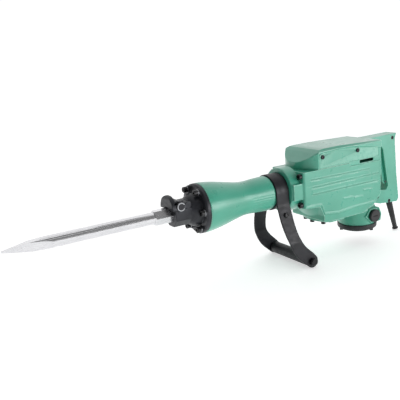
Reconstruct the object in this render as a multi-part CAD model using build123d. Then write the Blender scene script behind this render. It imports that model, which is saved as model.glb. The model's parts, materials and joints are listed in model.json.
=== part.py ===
from build123d import *
import math
import os

# Electric demolition hammer. Millimetres. The striking axis is the X axis, the mouth of the
# tool socket is at X = 0, the rear handle is at +X and +Z is up in the carrying pose.

# ---- chisel and tool socket
HEX_AF = 30.0            # hexagon shank across flats
HEX_PLAY = 0.15          # gap on each flat, shank in socket
SHANK_OUT = 41.6         # hexagon in front of the socket mouth
SHANK_IN = 95.0          # hexagon inside the tool
SHAFT_D = 26.0           # round shaft of the chisel
CHISEL_REACH = 355.5     # socket mouth to point
POINT_LENGTH = 54.0      # four-sided point
POINT_TIP = 3.5          # width left at the very tip
POINT_SHOULDER = 19.0    # width over the flats where the point begins
SHOULDER_LENGTH = 44.0   # ground flats that lead from the round shaft to the point
CHISEL_STROKE = 20.0     # free travel between anvil and retainer

# ---- nose casting and retainer
NOSE_AF = 54.0           # octagonal nose sleeve across flats
NOSE_LENGTH = 40.0
FLANGE_X = 60.4          # front face of the bolted flange
FLANGE_BACK = 70.0
FLANGE_R = 55.8
COVER_BOLT_CIRCLE = 47.5
COVER_BOLT_R = 4.0
COVER_BOLT_HEAD_R = 6.5
COVER_BOLT_HEAD = 9.0
COVER_BOLT_END = 90.0    # the bolts reach this far into the case
COVER_BOSS_X = 58.4      # spot face under each washer
COVER_WASHER_T = 2.0
DOME_R = 38.0            # dome behind the sleeve, where it meets the flange
PIN_X = 12.0             # transverse retainer pin
PIN_Z = 19.5
PIN_R = 7.0
PIN_BOSS_R = 11.5
PIN_PLAY = 0.05
PIN_FLAT = 2.5           # flat on the pin, from its axis
LEVER_HALF = 30.5        # half width of the retainer lever
LEVER_FRONT = -7.5       # front face of its plate
LEVER_GAP = 0.5          # lever cheek to nose sleeve
EYE_R = 12.0
SPRING_BOSS = (31.0, 19.5)  # round boss behind the lever, on one side
SPRING_BOSS_R = 8.0
RETAINER_SWING = 95.0    # from locked to the pose in which the pin's flat faces the shank

# ---- cylinder case
GASKET = 1.0
CASE_FRONT_R = 56.0
WAIST_X = 186.0
WAIST_R = 38.3
CASE_REAR_R = 40.6
CASE_REAR_X = 250.0
NECK_R = 38.0            # seat of the side handle's strap
NECK_END = 288.0
SPIGOT_R = 36.0
SPIGOT_LENGTH = 24.0
LINER_R = 31.0
CYLINDER_R = 25.0        # bore in which piston and striker run
SLIDE_PLAY = 0.05
ANVIL_R = 15.0
BUSH_R = 24.0
BUSH_FRONT = 97.0
BUSH_LENGTH = 43.0
WASHER_T = 1.5
DAMPER_T = 8.0
LINER_END = 312.0

# ---- crank drive, vertical shafts
CRANK_X = 409.8
CRANK_THROW = 18.0
ROD_LENGTH = 110.0
ROD_HALF_T = 8.0
WRIST_R = 7.0
CRANK_PIN_R = 9.5
CRANK_SHAFT_R = 10.0
CRANK_NECK_R = 7.5
OPEN_PIVOT_GAP = 0.5     # crank pin stops this far above the rod
WEB_T = 10.0
WEB_R = 31.0
MODULE_CRANK = 2.0
TEETH_CRANK = 52
TEETH_PINION = 15
MODULE_MOTOR = 1.5
TEETH_WHEEL = 62
TEETH_MOTOR = 14
BACKLASH = 0.16
GEAR_T = 12.0
WHEEL_T = 8.0
GEAR_Z = 44.0            # underside of the crank gear
WHEEL_Z = 59.0           # underside of the intermediate wheel
MID_SHAFT_R = 6.0
MOTOR_SHAFT_R = 6.0
SHAFT_PLAY = 0.02

# ---- body casting
BODY_HALF = 61.0         # half width over the side panels
BODY_FRONT = 316.0
BODY_REAR = 562.0
BARREL_R = 53.0
SPLIT_Z = 44.0           # joint between crank case and crank cover
STEP_X = 459.0           # behind this the joint steps down
STEP_Z = 36.0
BODY_TOP = 90.0
BODY_TOP_REAR = 86.0
BODY_BOTTOM = -88.0
WALL = 4.5
DECK_Z = 26.0            # internal deck that carries the lower bearings
DECK_T = 12.0
CROWN_HALF = 54.0        # half width of the flat top
CROWN_DROP = 5.0
COVER_FRONT = 331.0      # foot of the crank cover's sloping front
NOSE_PLAN_R = 75.0       # plan radius of the crank cover's front
KEEL_FRONT = 379.0       # front of the lower nose at its bottom
KEEL_R = 92.0            # plan radius of the lower nose at its bottom
KEEL_GROW = 34.0         # how much that radius grows up to the body's underside step
KEEL_TOP = -40.0

# ---- motor
MOTOR_R = 47.0           # exposed lower part of the motor housing
MOTOR_UPPER_R = 43.5     # part inside the body
MOTOR_WALL = 3.5
MOTOR_TOP = 24.0
MOTOR_BOTTOM = -128.6
TAIL_R = 49.8
TAIL_BOTTOM = -142.9     # rim of the tail cover
TAIL_FOOT = 3.6          # the vented centre stands this far below the rim
TAIL_FOOT_R = 36.5
TAIL_SCREW_CIRCLE = 43.0
TAIL_SCREW_HEAD = 3.0
TAIL_SCREW_ANGLE = -78.0
STATOR_BORE = 26.0
ARMATURE_R = 24.5
FAN_R = 36.0
BRUSH_Z = -106.4
BRUSH_OFFSET = 11.0      # brush axis behind the motor axis
BRUSH_CAP_R = 16.4

# ---- rear handle
HANDLE_HALF = 19.0
HANDLE_WALL = 4.0
TRIGGER_SWING = 4.0
TRIGGER_HALF = 11.0
TRIGGER_GAP = 0.5
TRIGGER_PIN = (626.0, -38.0)
GUARD_TOP = (651.5, -102.0)
GUARD_END = (674.0, -179.0)
GUARD_BORE = 4.0
GUARD_NECK_R = 7.0

# ---- side handle
STRAP_T = 4.5
STRAP_GAP = 0.3          # strap to neck
STRAP_FRONT = 251.5
STRAP_REAR = 286.5
LEG_TOP_Z = -26.0
KNEE_Z = -112.0
FOOT_Z = -200.0
LEG_HALF = 74.0          # half distance over the legs' inner faces at the grip
GRIP_X = 320.0
GRIP_Z = -166.0
GRIP_R = 14.5


# ---------------------------------------------------------------- helpers
def rod_x(radius, x0, x1, y=0.0, z=0.0):
    return Pos((x0 + x1) / 2, y, z) * Rot(0, 90, 0) * Cylinder(radius, x1 - x0)


def rod_y(radius, y0, y1, x=0.0, z=0.0):
    return Pos(x, (y0 + y1) / 2, z) * Rot(90, 0, 0) * Cylinder(radius, y1 - y0)


def rod_z(radius, z0, z1, x=0.0, y=0.0):
    return Pos(x, y, (z0 + z1) / 2) * Cylinder(radius, z1 - z0)


def block(x0, x1, y0, y1, z0, z1):
    return Pos((x0 + x1) / 2, (y0 + y1) / 2, (z0 + z1) / 2) * Box(x1 - x0, y1 - y0, z1 - z0)


def prism_y(points, y0, y1, grow=0.0):
    """An outline of (x, z) points, grown by a gap if one is given, extruded from y0 to y1."""
    plane = Plane(origin=(0, y1, 0), x_dir=(1, 0, 0), z_dir=(0, -1, 0))
    face = make_face(Polyline(*points, close=True))
    if grow:
        face = offset(face, grow, kind=Kind.INTERSECTION)
    return extrude(plane * face, y1 - y0)


def curve_prism_y(edges, y0, y1):
    """A closed outline of edges drawn in (x, z), extruded from y0 to y1."""
    plane = Plane(origin=(0, y1, 0), x_dir=(1, 0, 0), z_dir=(0, -1, 0))
    return extrude(plane * make_face(edges), y1 - y0)


def curve_prism_x(edges, x0, x1):
    """A closed outline of edges drawn in (y, z), extruded from x0 to x1."""
    plane = Plane(origin=(x0, 0, 0), x_dir=(0, 1, 0), z_dir=(1, 0, 0))
    return extrude(plane * make_face(edges), x1 - x0)


def prism_x(points, x0, x1):
    """An outline of (y, z) points, extruded from x0 to x1."""
    plane = Plane(origin=(x0, 0, 0), x_dir=(0, 1, 0), z_dir=(1, 0, 0))
    return extrude(plane * make_face(Polyline(*points, close=True)), x1 - x0)


def turned_x(edges):
    """A solid of revolution about the X axis from edges drawn in (x, radius)."""
    return revolve(make_face(edges), Axis.X)


def socket_screw_x(radius, head_r, head_h, x_seat, length, y, z):
    """A socket-head screw along X whose head stands in front of its seat."""
    head = rod_x(head_r, x_seat - head_h, x_seat, y, z)
    head = chamfer(head.edges().group_by(Axis.X)[0], 0.8)
    key = Pos(x_seat - head_h + 2, y, z) * Rot(0, 90, 0) * extrude(
        RegularPolygon(head_r * 0.55, 6), 2.2, both=True)
    return head - key + rod_x(radius, x_seat, x_seat + length, y, z)


def pan_screw_y(radius, head_r, head_h, x, z, y_seat, length, side):
    """A pan-head screw along Y; side is -1 or +1, the way the head points."""
    low, high = sorted((y_seat, y_seat + side * head_h))
    head = rod_y(head_r, low, high, x, z)
    outer = head.edges().group_by(Axis.Y)[0 if side < 0 else -1]
    head = chamfer(outer, head_h * 0.3)
    slot_y = y_seat + side * head_h
    slot = Pos(x, slot_y, z) * (Box(head_r * 1.2, 2.4, 1.4) + Box(1.4, 2.4, head_r * 1.2))
    low, high = sorted((y_seat, y_seat - side * length))
    return head - slot + rod_y(radius, low, high, x, z)


def spur_gear(module, teeth, thickness, z0, x, phase, bore):
    """An involute spur gear with a tooth centred on the angle phase (degrees)."""
    pressure = math.radians(20)
    pitch_r = module * teeth / 2
    base_r = pitch_r * math.cos(pressure)
    tip_r = pitch_r + 0.85 * module
    root_r = pitch_r - 1.2 * module
    half_pitch = (math.pi * module / 2 - BACKLASH) / (2 * pitch_r)
    inv_pitch = math.tan(pressure) - pressure

    def half_angle(radius):
        if radius <= base_r:
            return half_pitch + inv_pitch
        alpha = math.acos(base_r / radius)
        return half_pitch + inv_pitch - (math.tan(alpha) - alpha)

    start_r = max(base_r, root_r + 0.05)
    steps = [start_r + (tip_r - start_r) * k / 3 for k in range(4)]
    points = []
    for tooth in range(teeth):
        centre = math.radians(phase) + 2 * math.pi * tooth / teeth
        flank = [(root_r, half_angle(start_r))] + [(r, half_angle(r)) for r in steps]
        points += [(r, centre - a) for r, a in flank]
        points += [(r, centre + a) for r, a in reversed(flank)]
    outline = [(r * math.cos(a), r * math.sin(a)) for r, a in points]
    face = make_face(Polyline(*outline, close=True))
    gear = extrude(face, thickness)
    return Pos(x, 0, z0) * gear - rod_z(bore, z0 - 1, z0 + thickness + 1, x)


def ring_z(outer, inner, z0, z1, x=0.0):
    return rod_z(outer, z0, z1, x) - rod_z(inner, z0 - 1, z1 + 1, x)


def ring_x(outer, inner, x0, x1):
    return rod_x(outer, x0, x1) - rod_x(inner, x0 - 1, x1 + 1)


# Shaft positions follow from the gears.
CENTRE_CRANK = MODULE_CRANK * (TEETH_CRANK + TEETH_PINION) / 2
CENTRE_MOTOR = MODULE_MOTOR * (TEETH_WHEEL + TEETH_MOTOR) / 2
MID_X = CRANK_X + CENTRE_CRANK
MOTOR_X = MID_X + CENTRE_MOTOR
BRUSH_X = MOTOR_X + BRUSH_OFFSET
CRANK_PIN_X = CRANK_X - CRANK_THROW
WRIST_X = CRANK_PIN_X - ROD_LENGTH


def parts_group(solids):
    return Compound(children=list(solids))


# ---------------------------------------------------------------- chisel and nose
def hexagon_x(across_flats, x0, x1):
    plane = Plane(origin=(x0, 0, 0), x_dir=(0, 1, 0), z_dir=(1, 0, 0))
    return extrude(plane * RegularPolygon(across_flats / 2, 6, major_radius=False), x1 - x0)


def make_chisel():
    shank = hexagon_x(HEX_AF, -SHANK_OUT, SHANK_IN)
    corner_r = HEX_AF / math.sqrt(3)
    rounded_ends = turned_x(Polyline(
        (-SHANK_OUT, 0), (-SHANK_OUT, corner_r - 3), (-SHANK_OUT + 3, corner_r + 0.1),
        (SHANK_IN - 4, corner_r + 0.1), (SHANK_IN, corner_r - 4), (SHANK_IN, 0), close=True))
    shank = shank & rounded_ends
    notch_front = PIN_X - PIN_R - 1.0
    notch_rear = PIN_X + PIN_R + CHISEL_STROKE + 1.0
    notch_floor = PIN_Z - PIN_R - 1.5
    shank -= block(notch_front, notch_rear, -20, 20, notch_floor, 30)
    shaft = rod_x(SHAFT_D / 2, -CHISEL_REACH, -SHANK_OUT)
    widths = [(-CHISEL_REACH, POINT_TIP / 2), (-CHISEL_REACH + POINT_LENGTH, POINT_SHOULDER / 2),
              (-CHISEL_REACH + POINT_LENGTH + SHOULDER_LENGTH, SHAFT_D / 2), (-SHANK_OUT, SHAFT_D / 2 + 1)]
    side = widths + [(x, -w) for x, w in reversed(widths)]
    shaft = shaft & prism_y(side, -SHAFT_D, SHAFT_D)
    shaft = shaft & Rot(90, 0, 0) * prism_y(side, -SHAFT_D, SHAFT_D)
    return shaft + shank


def cover_bolt_places():
    return [(COVER_BOLT_CIRCLE * math.cos(math.radians(a)), COVER_BOLT_CIRCLE * math.sin(math.radians(a)))
            for a in range(0, 360, 60)]


def make_front_cover():
    plane = Plane(origin=(0, 0, 0), x_dir=(0, 1, 0), z_dir=(1, 0, 0))
    octagon = RegularPolygon(NOSE_AF / 2, 8, major_radius=False, rotation=22.5)
    sleeve = extrude(plane * octagon, NOSE_LENGTH + 8)
    profile = [
        Line((36, 0), (36, NOSE_AF / 2 - 1)),
        ThreePointArc((36, NOSE_AF / 2 - 1), (46, DOME_R - 4), (FLANGE_X, DOME_R)),
        Line((FLANGE_X, DOME_R), (FLANGE_X, FLANGE_R - 2.5)),
        Line((FLANGE_X, FLANGE_R - 2.5), (FLANGE_X + 2.5, FLANGE_R)),
        Line((FLANGE_X + 2.5, FLANGE_R), (FLANGE_BACK, FLANGE_R)),
        Line((FLANGE_BACK, FLANGE_R), (FLANGE_BACK, 0)),
        Line((FLANGE_BACK, 0), (36, 0)),
    ]
    cover = sleeve + turned_x(profile)
    boss = rod_y(PIN_BOSS_R, -NOSE_AF / 2 + 9, NOSE_AF / 2 - 9, PIN_X, PIN_Z)
    web = block(PIN_X, 46, -8, 8, 10, PIN_Z + 8)
    cover += boss + web
    for y, z in cover_bolt_places():
        cover += rod_x(COVER_BOLT_HEAD_R + 1.5, COVER_BOSS_X, FLANGE_X + 1, y, z)
        cover -= rod_x(COVER_BOLT_R + 0.3, COVER_BOSS_X - 1, FLANGE_BACK + 1, y, z)
    cover += rod_y(SPRING_BOSS_R, -NOSE_AF / 2, -10, *SPRING_BOSS)
    cover -= hexagon_x(HEX_AF + 2 * HEX_PLAY, -1, FLANGE_BACK + 1)
    cover -= rod_y(PIN_R + PIN_PLAY, -30, 30, PIN_X, PIN_Z)
    return cover


def make_cover_bolts():
    seat = COVER_BOSS_X - COVER_WASHER_T
    return parts_group([socket_screw_x(COVER_BOLT_R, COVER_BOLT_HEAD_R, COVER_BOLT_HEAD, seat,
                                       COVER_BOLT_END - seat, y, z) for y, z in cover_bolt_places()])


def make_cover_washers():
    washers = []
    for y, z in cover_bolt_places():
        washer = rod_x(COVER_BOLT_HEAD_R + 0.4, COVER_BOSS_X - COVER_WASHER_T, COVER_BOSS_X, y, z)
        washers.append(washer - rod_x(COVER_BOLT_R, COVER_BOSS_X - 3, COVER_BOSS_X + 1, y, z))
    return parts_group(washers)


def make_retainer_pin():
    pin = rod_y(PIN_R, -LEVER_HALF - 2.5, LEVER_HALF + 2.5, PIN_X, PIN_Z)
    flat = block(PIN_FLAT, PIN_R + 1, -17, 17, -PIN_R - 1, PIN_R + 1)
    return pin - Pos(PIN_X, 0, PIN_Z) * Rot(0, 90 + RETAINER_SWING, 0) * flat


def make_retainer_lever():
    inner = NOSE_AF / 2 + LEVER_GAP
    front = LEVER_FRONT
    rear = PIN_X + EYE_R
    outline = [(PIN_X + 2, PIN_Z - 9.5), (front, 13), (front, 36), (front + 1.5, 40), (front + 4.5, 42.5),
               (front + 8.5, 42), (front + 12.5, 38.5), (PIN_X - 2, 37.5), (PIN_X + 3, 38.5),
               (PIN_X + 9, 36.5), (rear + 2, 31), (rear + 3, 26), (rear, PIN_Z)]
    arms = prism_y(outline, -LEVER_HALF, LEVER_HALF) + rod_y(EYE_R, -LEVER_HALF, LEVER_HALF, PIN_X, PIN_Z)
    arms -= block(-LEVER_GAP, 60, -inner, inner, -20, NOSE_AF / 2 + LEVER_GAP)
    sweep = math.hypot(PIN_X, NOSE_AF / 2 - PIN_Z) + LEVER_GAP
    arms -= rod_y(max(sweep, PIN_BOSS_R + 1), -inner, inner, PIN_X, PIN_Z)
    arms -= block(PIN_X - 10, 60, -inner, inner, 10, 60)
    arms -= rod_x(HEX_AF / math.sqrt(3) + 1.2, front - 1, 0)
    crown = rod_x(LEVER_HALF, front, rear + 4, 0, 12.0)
    crown += block(front, rear + 4, -LEVER_HALF, LEVER_HALF, 0, 12)
    arms = arms & crown
    return arms - rod_y(PIN_R, -40, 40, PIN_X, PIN_Z)


def make_retainer_clips():
    clips = []
    for side in (-1, 1):
        low, high = sorted((side * LEVER_HALF, side * (LEVER_HALF + 2.0)))
        clip = rod_y(PIN_R + 2.2, low, high, PIN_X, PIN_Z) - rod_y(PIN_R, -40, 40, PIN_X, PIN_Z)
        clips.append(clip - block(PIN_X, PIN_X + 20, -40, 40, PIN_Z - 4, PIN_Z + 4))
    return parts_group(clips)


# ---------------------------------------------------------------- cylinder
def make_flange_gasket():
    gasket = ring_x(FLANGE_R - 2, 36, FLANGE_BACK, FLANGE_BACK + GASKET)
    for y, z in cover_bolt_places():
        gasket -= rod_x(COVER_BOLT_R + 0.3, FLANGE_BACK - 1, FLANGE_BACK + GASKET + 1, y, z)
    return gasket


def make_cylinder_case():
    front = FLANGE_BACK + GASKET
    hourglass = Spline((front + 4, CASE_FRONT_R), (113, 51.5), (147, 44.6), (WAIST_X, WAIST_R),
                       (214, 39.4), (CASE_REAR_X - 1.5, CASE_REAR_R),
                       tangents=[(1, -0.03), (1, 0.02)])
    profile = [
        Line((front, 0), (front, CASE_FRONT_R)),
        Line((front, CASE_FRONT_R), (front + 4, CASE_FRONT_R)),
        hourglass,
        Line((CASE_REAR_X - 1.5, CASE_REAR_R), (CASE_REAR_X, CASE_REAR_R - 1.2)),
        Line((CASE_REAR_X, CASE_REAR_R - 1.2), (CASE_REAR_X, NECK_R)),
        Line((CASE_REAR_X, NECK_R), (NECK_END, NECK_R)),
        Line((NECK_END, NECK_R), (NECK_END, SPIGOT_R)),
        Line((NECK_END, SPIGOT_R), (NECK_END + SPIGOT_LENGTH, SPIGOT_R)),
        Line((NECK_END + SPIGOT_LENGTH, SPIGOT_R), (NECK_END + SPIGOT_LENGTH, 0)),
        Line((NECK_END + SPIGOT_LENGTH, 0), (front, 0)),
    ]
    case = turned_x(profile)
    case -= rod_x(HEX_AF / math.sqrt(3) + 1, front - 1, BUSH_FRONT)
    case -= rod_x(BUSH_R, BUSH_FRONT, liner_start())
    case -= rod_x(LINER_R, liner_start(), NECK_END + SPIGOT_LENGTH + 1)
    for y, z in cover_bolt_places():
        case -= rod_x(COVER_BOLT_R, front - 1, COVER_BOLT_END, y, z)
    return case


def liner_start():
    return BUSH_FRONT + BUSH_LENGTH + 2 * WASHER_T + DAMPER_T


def make_anvil_bush():
    return ring_x(BUSH_R, ANVIL_R + SLIDE_PLAY, BUSH_FRONT, BUSH_FRONT + BUSH_LENGTH)


def make_damper_washers():
    first = BUSH_FRONT + BUSH_LENGTH
    second = first + WASHER_T + DAMPER_T
    return parts_group([ring_x(BUSH_R, ANVIL_R + 1, x, x + WASHER_T) for x in (first, second)])


def make_damper_ring():
    start = BUSH_FRONT + BUSH_LENGTH + WASHER_T
    return ring_x(BUSH_R - 0.5, ANVIL_R + 1.5, start, start + DAMPER_T)


def make_anvil():
    collar = liner_start() + 0.3
    anvil = rod_x(ANVIL_R, SHANK_IN + 1, collar)
    anvil = chamfer(anvil.edges().group_by(Axis.X)[0], 1.5)
    anvil += rod_x(CYLINDER_R - 4, collar, collar + 6)
    return anvil + rod_x(12, collar + 6, collar + 9)


def make_cylinder_liner():
    liner = ring_x(LINER_R, CYLINDER_R, liner_start(), LINER_END)
    for x in (186, 232, 252):
        for angle in (0, 60, 120):
            hole = Rot(angle, 0, 0) * rod_z(2.0, -40, 40, x)
            liner -= hole
    return liner


STRIKER_FRONT = liner_start() + 36
STRIKER_LENGTH = 58.0
PISTON_LENGTH = 40.0


def make_striker():
    body = rod_x(CYLINDER_R - SLIDE_PLAY, STRIKER_FRONT, STRIKER_FRONT + STRIKER_LENGTH)
    groove_x = STRIKER_FRONT + STRIKER_LENGTH - 14
    body -= ring_x(CYLINDER_R + 5, CYLINDER_R - 3.5, groove_x, groove_x + 4)
    nose = rod_x(12, STRIKER_FRONT - 12, STRIKER_FRONT)
    nose = chamfer(nose.edges().group_by(Axis.X)[0], 1.5)
    return body + nose


def make_striker_ring():
    groove_x = STRIKER_FRONT + STRIKER_LENGTH - 14
    return ring_x(CYLINDER_R - SLIDE_PLAY, CYLINDER_R - 3.5, groove_x, groove_x + 4)


def piston_front():
    return WRIST_X - PISTON_LENGTH * 0.6


def make_piston():
    front = piston_front()
    piston = rod_x(CYLINDER_R - SLIDE_PLAY, front, front + PISTON_LENGTH)
    piston -= ring_x(CYLINDER_R + 5, CYLINDER_R - 3.5, front + 5, front + 9)
    piston -= block(WRIST_X - 12, front + PISTON_LENGTH + 1, -19, 19, -ROD_HALF_T - 0.5, ROD_HALF_T + 0.5)
    return piston - rod_z(WRIST_R, -30, 30, WRIST_X)


def make_piston_ring():
    front = piston_front()
    return ring_x(CYLINDER_R - SLIDE_PLAY, CYLINDER_R - 3.5, front + 5, front + 9)


def make_wrist_pin():
    return rod_z(WRIST_R, -22, 22, WRIST_X)


def make_connecting_rod():
    small = rod_z(11, -ROD_HALF_T, ROD_HALF_T, WRIST_X)
    big = rod_z(19, -ROD_HALF_T, ROD_HALF_T, CRANK_PIN_X)
    beam = block(WRIST_X, CRANK_PIN_X, -6, 6, -ROD_HALF_T, ROD_HALF_T)
    rod = small + big + beam
    rod -= rod_z(WRIST_R + SHAFT_PLAY, -20, 20, WRIST_X)
    rod -= rod_z(CRANK_PIN_R + SHAFT_PLAY, -20, 20, CRANK_PIN_X)
    for side in (-1, 1):
        z = side * (ROD_HALF_T + 2)
        rod -= Pos((WRIST_X + CRANK_PIN_X) / 2 - 3, 0, z) * Box(66, 7, 8)
    return rod


# ---------------------------------------------------------------- gear train
UPPER_BEARING_Z = 70.0


def make_crankshaft():
    pin_z = ROD_HALF_T + OPEN_PIVOT_GAP
    web_z = 14.0
    shaft = rod_z(CRANK_SHAFT_R, web_z + WEB_T, GEAR_Z + GEAR_T + 4, CRANK_X)
    shaft += rod_z(CRANK_NECK_R, GEAR_Z + GEAR_T + 4, UPPER_BEARING_Z + 9, CRANK_X)
    web = rod_z(WEB_R, web_z, web_z + WEB_T, CRANK_X)
    for side in (-1, 1):
        web -= Pos(CRANK_X - 26, side * 26, web_z + WEB_T / 2) * Box(40, 26, WEB_T + 2)
    return shaft + web + rod_z(CRANK_PIN_R, pin_z, web_z, CRANK_PIN_X)


def make_crank_gear():
    gear = spur_gear(MODULE_CRANK, TEETH_CRANK, GEAR_T, GEAR_Z, CRANK_X, 0, CRANK_SHAFT_R)
    for angle in range(0, 360, 60):
        x = CRANK_X + 31 * math.cos(math.radians(angle))
        y = 31 * math.sin(math.radians(angle))
        gear -= rod_z(8, GEAR_Z - 1, GEAR_Z + GEAR_T + 1, x, y)
    return gear


def make_intermediate_shaft():
    pinion_phase = 180 - 180 / TEETH_PINION
    pinion = spur_gear(MODULE_CRANK, TEETH_PINION, GEAR_T + 1.5, GEAR_Z - 1, MID_X, pinion_phase, MID_SHAFT_R)
    return pinion + rod_z(MID_SHAFT_R, DECK_Z, UPPER_BEARING_Z + 9, MID_X)


def make_intermediate_gear():
    gear = spur_gear(MODULE_MOTOR, TEETH_WHEEL, WHEEL_T, WHEEL_Z, MID_X, 0, MID_SHAFT_R)
    for angle in range(0, 360, 60):
        x = MID_X + 28 * math.cos(math.radians(angle))
        y = 28 * math.sin(math.radians(angle))
        gear -= rod_z(7, WHEEL_Z - 1, WHEEL_Z + WHEEL_T + 1, x, y)
    return gear


def make_crank_bearings():
    lower = ring_z(21, CRANK_SHAFT_R + SHAFT_PLAY, DECK_Z, DECK_Z + 12, CRANK_X)
    upper = ring_z(16, CRANK_NECK_R + SHAFT_PLAY, UPPER_BEARING_Z, UPPER_BEARING_Z + 9, CRANK_X)
    return parts_group([lower, upper])


def make_intermediate_bearings():
    lower = ring_z(14, MID_SHAFT_R + SHAFT_PLAY, DECK_Z, DECK_Z + 9, MID_X)
    upper = ring_z(14, MID_SHAFT_R + SHAFT_PLAY, UPPER_BEARING_Z, UPPER_BEARING_Z + 8, MID_X)
    return parts_group([lower, upper])


def make_armature_bearings():
    upper = ring_z(17.5, MOTOR_SHAFT_R + SHAFT_PLAY, DECK_Z, DECK_Z + 11, MOTOR_X)
    lower = ring_z(13, MOTOR_SHAFT_R + SHAFT_PLAY, MOTOR_BOTTOM + 1, MOTOR_BOTTOM + 10, MOTOR_X)
    return parts_group([upper, lower])


def make_armature_shaft():
    phase = 180 - 180 / TEETH_MOTOR
    pinion = spur_gear(MODULE_MOTOR, TEETH_MOTOR, WHEEL_T + 4, WHEEL_Z - 2, MOTOR_X, phase, MOTOR_SHAFT_R)
    return pinion + rod_z(MOTOR_SHAFT_R, MOTOR_BOTTOM + 1, WHEEL_Z + WHEEL_T + 2, MOTOR_X)


def make_armature_core():
    core = ring_z(ARMATURE_R, MOTOR_SHAFT_R, -66, -8, MOTOR_X)
    for k in range(12):
        angle = math.radians(30 * k)
        x = MOTOR_X + ARMATURE_R * math.cos(angle)
        y = ARMATURE_R * math.sin(angle)
        core -= rod_z(2.2, -70, 0, x, y)
    windings = ring_z(20, MOTOR_SHAFT_R, -80, -66, MOTOR_X) + ring_z(20, MOTOR_SHAFT_R, -8, 0, MOTOR_X)
    return core + windings


def make_commutator():
    drum = ring_z(17, MOTOR_SHAFT_R, -116, -84, MOTOR_X)
    for k in range(24):
        angle = math.radians(15 * k)
        x = MOTOR_X + 17 * math.cos(angle)
        y = 17 * math.sin(angle)
        drum -= rod_z(0.5, -118, -88, x, y)
    return drum


def make_cooling_fan():
    hub = ring_z(12, MOTOR_SHAFT_R, 3, 19, MOTOR_X)
    disc = ring_z(FAN_R, 12, 3, 5.5, MOTOR_X)
    fan = hub + disc
    blade = Pos((FAN_R + 10) / 2, 0, 12) * Box(FAN_R - 11, 1.6, 13)
    for k in range(9):
        fan += Pos(MOTOR_X, 0, 0) * Rot(0, 0, 40 * k) * blade
    return fan


def make_stator():
    core = ring_z(MOTOR_UPPER_R - MOTOR_WALL, STATOR_BORE, -66, -8, MOTOR_X)
    for side in (-1, 1):
        core -= block(MOTOR_X - 12, MOTOR_X + 12, *sorted((side * 28, side * 36)), -70, 0)
    return core


def make_field_coils():
    coils = []
    for side in (-1, 1):
        low, high = sorted((side * 28.5, side * 35.5))
        coils.append(block(MOTOR_X - 11.5, MOTOR_X + 11.5, low, high, -76, -2))
    return parts_group(coils)


# ---------------------------------------------------------------- body castings
def body_outline():
    """Side outline of the crank case below the cover joint."""
    return [(BODY_FRONT, SPLIT_Z), (BODY_FRONT, -43), (362, -46), (374, -72), (373, -84),
            (380, BODY_BOTTOM), (500, BODY_BOTTOM), (534, -74), (BODY_REAR - 4, -49), (BODY_REAR, SPLIT_Z)]


def make_crank_case():
    body = prism_y(body_outline(), -BODY_HALF, BODY_HALF)
    body = fillet(body.edges().filter_by(Axis.Z), 5)
    height = KEEL_TOP - BODY_BOTTOM
    cone = Pos(KEEL_FRONT + KEEL_R, 0, BODY_BOTTOM + height / 2) * Cone(KEEL_R, KEEL_R + KEEL_GROW, height)
    keel = cone & block(320, 430, -BODY_HALF + 0.5, BODY_HALF - 0.5, BODY_BOTTOM, KEEL_TOP)
    body += keel
    barrel = rod_x(BARREL_R, NECK_END, BODY_FRONT + 2)
    barrel = chamfer(barrel.edges().group_by(Axis.X)[0], 1.5)
    body += barrel & block(NECK_END, BODY_FRONT + 2, -60, 60, -60, 60)
    for side in (-1, 1):
        low, high = sorted((side * 40, side * 57))
        pad = block(BODY_FRONT - 26, BODY_FRONT + 1, low, high, -19, 19)
        for z in (-6.5, 6.5):
            pad -= block(BODY_FRONT - 24, BODY_FRONT - 2, *sorted((side * 55.8, side * 58)), z - 1, z + 1)
        body += pad
    # barrel bore, crank chamber, motor chamber and the deck between them
    body -= rod_x(SPIGOT_R, NECK_END - 1, BODY_FRONT + 6)
    inner = BODY_HALF - WALL
    body -= block(BODY_FRONT + WALL, MID_X - 6, -inner, inner, -38, DECK_Z)
    body -= block(380, 480, -inner, inner, BODY_BOTTOM + 6, -37)
    gear_room = block(COVER_FRONT + WALL, BODY_REAR - WALL, -inner, inner, DECK_Z + DECK_T, SPLIT_Z + 1)
    body -= gear_room & cover_plan(WALL + 1, DECK_Z, SPLIT_Z + 2)
    body -= joint_step(BODY_HALF + 1, BODY_REAR + 1, SPLIT_Z + 1)
    body -= rod_z(MOTOR_UPPER_R, BODY_BOTTOM - 1, MOTOR_TOP, MOTOR_X)
    body -= rod_z(MOTOR_UPPER_R - MOTOR_WALL, MOTOR_TOP - 1, DECK_Z, MOTOR_X) & block(
        400, BODY_REAR - WALL, -inner, inner, 0, DECK_Z)
    for x, radius in ((CRANK_X, 21), (MID_X, 14), (MOTOR_X, 17.5)):
        body -= rod_z(radius, DECK_Z - 1, DECK_Z + DECK_T + 1, x)
    for y, z in neck_bolt_places():
        body -= rod_x(4, BODY_FRONT - 8, BODY_FRONT + 3, y, z)
    for side in (-1, 1):
        face = side * BODY_HALF
        low, high = sorted((face - side * 0.8, face + side))
        for z0 in (26, 9, -12):
            body -= block(326, 528 - abs(z0), low, high, z0 - 0.7, z0 + 0.7)
    return body


def neck_bolt_places():
    return [(sy * 50.5, sz * 34) for sy in (-1, 1) for sz in (-1, 1)]


def make_neck_bolts():
    return parts_group([socket_screw_x(4, 6.5, 8, BODY_FRONT, 3, y, z) for y, z in neck_bolt_places()])


def cover_section(half, z0):
    """Half-octagon section (y, z) of the crank cover."""
    return [(-half, z0), (half, z0), (half, BODY_TOP - CROWN_DROP), (CROWN_HALF, BODY_TOP),
            (-CROWN_HALF, BODY_TOP), (-half, BODY_TOP - CROWN_DROP)]


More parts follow.
